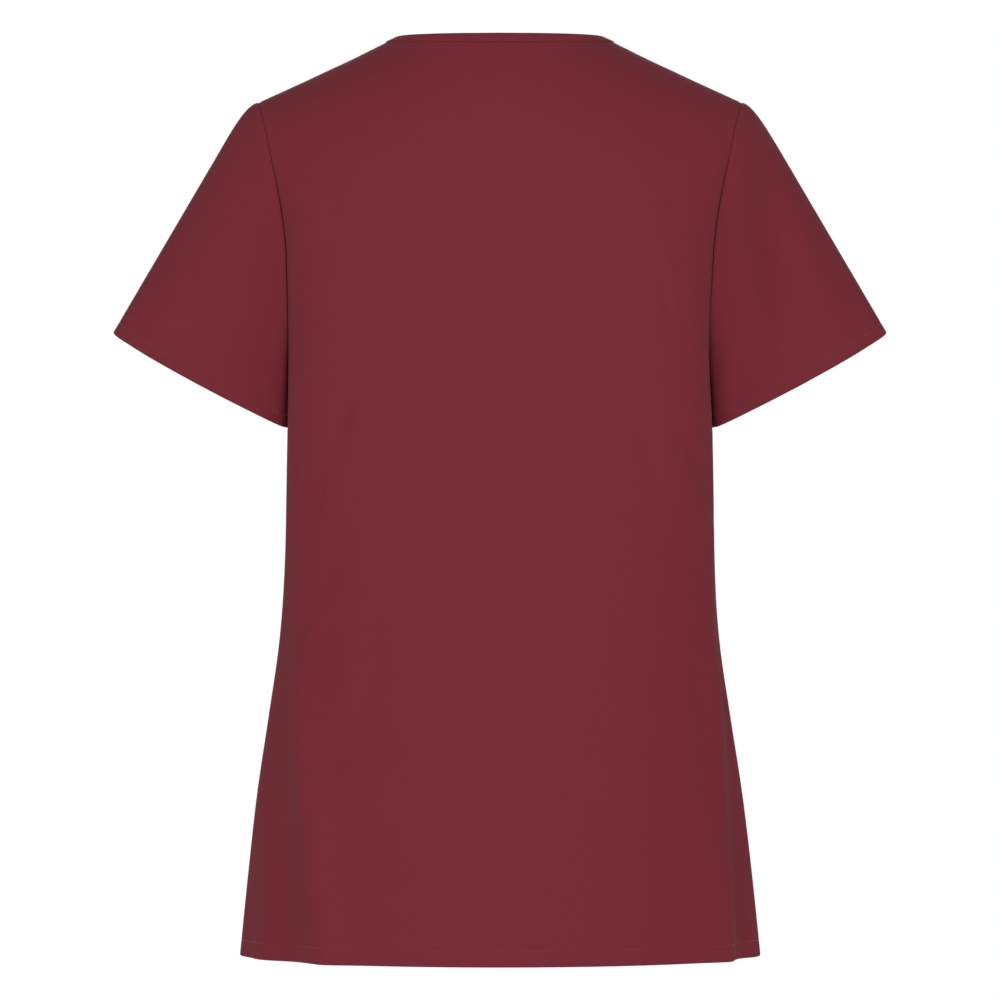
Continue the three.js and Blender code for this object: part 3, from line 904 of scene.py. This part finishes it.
def cloth_material(settings):
    """Wine red poly-cotton twill: matt, with a little nap and a fine weave."""

    def finish(make, shade):
        cloth = make("ShaderNodeUVMap", uv_map="cloth")
        weave = make(
            "ShaderNodeGroup",
            node_tree=group_named("twill_weave", weave_group),
        )
        weave.inputs["Threads per metre"].default_value = 1000 / settings.thread_pitch_mm
        weave.id_data.links.new(cloth.outputs["UV"], weave.inputs["Cloth"])
        bump = make(
            "ShaderNodeBump",
            {"Strength": 0.35, "Distance": 0.00004, "Height": weave.outputs["Height"]},
        )
        return {
            "Roughness": shade.outputs["Roughness"],
            "Normal": bump.outputs["Normal"],
            "Specular IOR Level": 0.1,
            "Sheen Weight": 0.02,
            "Sheen Roughness": 0.6,
        }

    return dyed_material("wine_twill", settings.dye, 0.03, 0.10, finish)


def thread_material(settings):
    """Spun polyester thread, a little lighter and glossier than the cloth."""

    def finish(make, shade):
        return {"Roughness": 0.5, "Specular IOR Level": 0.4, "Sheen Weight": 0.2}

    return dyed_material("wine_thread", settings.thread, 0.05, 0.3, finish)


def make_floor(height):
    """A pale round floor: a disc of rings out to its edge."""
    turn = np.linspace(0, 2 * math.pi, 96, endpoint=False)
    radii = np.linspace(0, 1, 9)[1:] ** 1.5 * FLOOR_RADIUS
    ring = np.stack([np.cos(turn), np.sin(turn), np.zeros_like(turn)], -1)
    points = np.concatenate([[(0, 0, 0)], (radii[:, None, None] * ring).reshape(-1, 3)])
    points[:, 2] += height
    rr, cc = grid_faces(len(radii), len(turn), False, True, True)
    faces = (1 + rr * len(turn) + cc % len(turn)).tolist()
    faces += [[0, 1 + k, 1 + (k + 1) % len(turn)] for k in range(len(turn))]
    mesh = bpy.data.meshes.new("floor")
    mesh.from_pydata(points.tolist(), [], faces)
    floor = bpy.data.objects.new("floor", mesh)
    bpy.context.scene.collection.objects.link(floor)
    material = bpy.data.materials.new("pale_floor")
    material.use_nodes = True
    shader = material.node_tree.nodes["Principled BSDF"]
    shader.inputs["Base Color"].default_value = (0.9, 0.9, 0.9, 1)
    shader.inputs["Roughness"].default_value = 0.9
    mesh.materials.append(material)


def make_light(surround, hem):
    """Even light from all round, softer than the white that the camera sees, and soft lamps round
    the top."""
    world = bpy.data.worlds.new("studio")
    world.use_nodes = True
    tree = world.node_tree
    background = tree.nodes["Background"]
    background.inputs["Color"].default_value = (1, 1, 1, 1)
    seen = tree.nodes.new("ShaderNodeLightPath").outputs["Is Camera Ray"]
    strength = tree.nodes.new("ShaderNodeMapRange")
    strength.inputs["To Min"].default_value = surround
    strength.inputs["To Max"].default_value = 1.0
    tree.links.new(seen, strength.inputs["Value"])
    tree.links.new(strength.outputs[0], background.inputs["Strength"])
    bpy.context.scene.world = world
    for name, azimuth, elevation, share in LAMPS:
        lamp = bpy.data.lights.new(name, "AREA")
        lamp.size = LAMP_SIZE
        lamp.energy = share * math.pi**2 * LAMP_DISTANCE**2
        holder = bpy.data.objects.new(name, lamp)
        turn, rise = math.radians(azimuth), math.radians(elevation)
        aim = Vector(
            (math.sin(turn) * math.cos(rise), math.cos(turn) * math.cos(rise), math.sin(rise))
        )
        holder.location = aim * LAMP_DISTANCE + Vector((0, 0, hem / 2))
        holder.rotation_euler = aim.to_track_quat("Z", "Y").to_euler()
        bpy.context.scene.collection.objects.link(holder)


class ClothSettings(bpy.types.PropertyGroup):
    """Colours and weave of the top's cloth and thread."""

    dye: bpy.props.FloatVectorProperty(
        name="Cloth colour", description="Colour of the dyed cloth", subtype="COLOR",
        default=srgb(117, 41, 51), min=0, max=1,
    )
    thread: bpy.props.FloatVectorProperty(
        name="Thread colour", description="Colour of the stitches", subtype="COLOR",
        default=srgb(122, 46, 56), min=0, max=1,
    )
    thread_pitch_mm: bpy.props.FloatProperty(
        name="Thread pitch", description="Distance between the weave's threads, in millimetres",
        default=0.42, min=0.2, max=2,
    )
    stitch: bpy.props.FloatProperty(
        name="Stitch length", description="Length of one stitch with its gap",
        default=2.9 * MM, min=0.001, max=0.01, subtype="DISTANCE", unit="LENGTH", precision=4,
    )
    stitch_gap: bpy.props.FloatProperty(
        name="Gap between stitches", description="Part of the stitch length that shows no thread",
        default=0.7 * MM, min=0, max=0.003, subtype="DISTANCE", unit="LENGTH", precision=4,
    )
    thread_width: bpy.props.FloatProperty(
        name="Thread width", description="Width of the sewing thread",
        default=0.5 * MM, min=0.0001, max=0.002, subtype="DISTANCE", unit="LENGTH", precision=5,
    )


class StageSettings(bpy.types.PropertyGroup):
    """The camera, the floor and the light."""

    distance: bpy.props.FloatProperty(
        name="Camera distance", description="From the camera to the top's middle plane",
        default=4.5, min=1, subtype="DISTANCE", unit="LENGTH",
    )
    height: bpy.props.FloatProperty(
        name="Camera height", description="Height of the camera above the hem",
        default=0.337, subtype="DISTANCE", unit="LENGTH",
    )
    pixel: bpy.props.FloatProperty(
        name="Pixel", description="Size of a pixel at the top's middle plane",
        default=0.74 * MM, subtype="DISTANCE", unit="LENGTH", precision=5,
    )
    floor_drop: bpy.props.FloatProperty(
        name="Floor", description="How far the floor lies below the shoulders",
        default=1.36, min=0.7, subtype="DISTANCE", unit="LENGTH",
    )
    surround: bpy.props.FloatProperty(
        name="Surround", description="Strength of the even light all round", default=0.3, min=0,
    )


def finish_cloth(piece, node, settings):
    piece.data.materials.append(cloth_material(settings))
    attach(piece, BODY_NAME)
    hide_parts(node)


def finish_thread(piece, settings):
    piece.data.materials.append(thread_material(settings))
    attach(piece, BODY_NAME)


class SCRUB_OT_panels(bpy.types.Operator):
    """Build the back and the front panel"""

    bl_idname = "scrub.panels"
    bl_label = "Panels"

    def execute(self, context):
        settings = context.scene.scrub_cloth
        finish_cloth(panel("back_cloth", False), "back_panel", settings)
        finish_cloth(panel("front_cloth", True), "front_panel", settings)
        return {"FINISHED"}


class SCRUB_OT_sleeves(bpy.types.Operator):
    """Build the two set-in sleeves"""

    bl_idname = "scrub.sleeves"
    bl_label = "Sleeves"

    def execute(self, context):
        settings = context.scene.scrub_cloth
        for side, label in ((1, "left"), (-1, "right")):
            piece = sleeve(f"{label}_sleeve_cloth", side)
            finish_cloth(piece, f"sleeve_{label}", settings)
        return {"FINISHED"}


class SCRUB_OT_neckband(bpy.types.Operator):
    """Build the back and front neckband"""

    bl_idname = "scrub.neckband"
    bl_label = "Neckband"

    def execute(self, context):
        settings = context.scene.scrub_cloth
        back = neckband("neckband_back_cloth", False)
        front = neckband("neckband_front_cloth", True)
        finish_cloth(back, "neckband_back", settings)
        finish_cloth(front, "neckband_front", settings)
        return {"FINISHED"}


class SCRUB_OT_stitches(bpy.types.Operator):
    """Sew the hems and the neckband with rows of single stitches"""

    bl_idname = "scrub.stitches"
    bl_label = "Stitches"

    def execute(self, context):
        settings = context.scene.scrub_cloth
        pitch, gap = settings.stitch / MM, settings.stitch_gap / MM
        radius = settings.thread_width / MM / 2
        lines = {
            "back_hem_stitches": panel_stitch_line(False),
            "front_hem_stitches": panel_stitch_line(True),
            "back_neck_stitches": band_stitch_line(False),
            "front_neck_stitches": band_stitch_line(True),
            "left_cuff_stitches": cuff_stitch_line(1),
            "right_cuff_stitches": cuff_stitch_line(-1),
        }
        rows = [
            stitch_row(name, line, out, pitch, gap, radius, "cuff" in name)
            for name, (line, out) in lines.items()
        ]
        finish_thread(joined("stitches", rows), settings)
        return {"FINISHED"}


class SCRUB_OT_stage(bpy.types.Operator):
    """Set the floor, the soft light and the camera"""

    bl_idname = "scrub.stage"
    bl_label = "Stage"

    def execute(self, context):
        settings = context.scene.scrub_stage
        scene = context.scene
        hem = -float(shoulder_z(NECK_X)) * MM
        make_floor(-settings.floor_drop)
        make_light(settings.surround, hem)
        camera = bpy.data.cameras.new("camera")
        camera.sensor_width = SENSOR_MM
        camera.lens = SENSOR_MM * settings.distance / settings.pixel / PICTURE_PIXELS
        camera.clip_end = 60.0
        viewer = bpy.data.objects.new("camera", camera)
        viewer.location = (0, settings.distance, hem + settings.height)
        viewer.rotation_euler = (math.radians(90), 0, math.radians(180))
        scene.collection.objects.link(viewer)
        scene.camera = viewer
        scene.view_settings.view_transform = "Standard"
        return {"FINISHED"}


OPERATORS = (
    SCRUB_OT_panels, SCRUB_OT_sleeves, SCRUB_OT_neckband, SCRUB_OT_stitches, SCRUB_OT_stage,
)


class SCRUB_PT_panel(bpy.types.Panel):
    """Lists the steps and their settings"""

    bl_label = "Scrub top"
    bl_idname = "SCRUB_PT_panel"
    bl_space_type = "VIEW_3D"
    bl_region_type = "UI"
    bl_category = "Scrub top"

    def draw(self, context):
        for settings in (context.scene.scrub_cloth, context.scene.scrub_stage):
            for key in settings.bl_rna.properties.keys():
                if key not in ("rna_type", "name"):
                    self.layout.prop(settings, key)
        for operator in OPERATORS:
            self.layout.operator(operator.bl_idname)


CLASSES = (ClothSettings, StageSettings, *OPERATORS, SCRUB_PT_panel)


def register():
    for one in CLASSES:
        bpy.utils.register_class(one)
    bpy.types.Scene.scrub_cloth = bpy.props.PointerProperty(type=ClothSettings)
    bpy.types.Scene.scrub_stage = bpy.props.PointerProperty(type=StageSettings)


def unregister():
    del bpy.types.Scene.scrub_stage
    del bpy.types.Scene.scrub_cloth
    for one in reversed(CLASSES):
        bpy.utils.unregister_class(one)


def main():
    register()
    bpy.ops.scrub.panels()
    bpy.ops.scrub.sleeves()
    bpy.ops.scrub.neckband()
    bpy.ops.scrub.stitches()
    bpy.ops.scrub.stage()


if __name__ == "__main__":
    main()
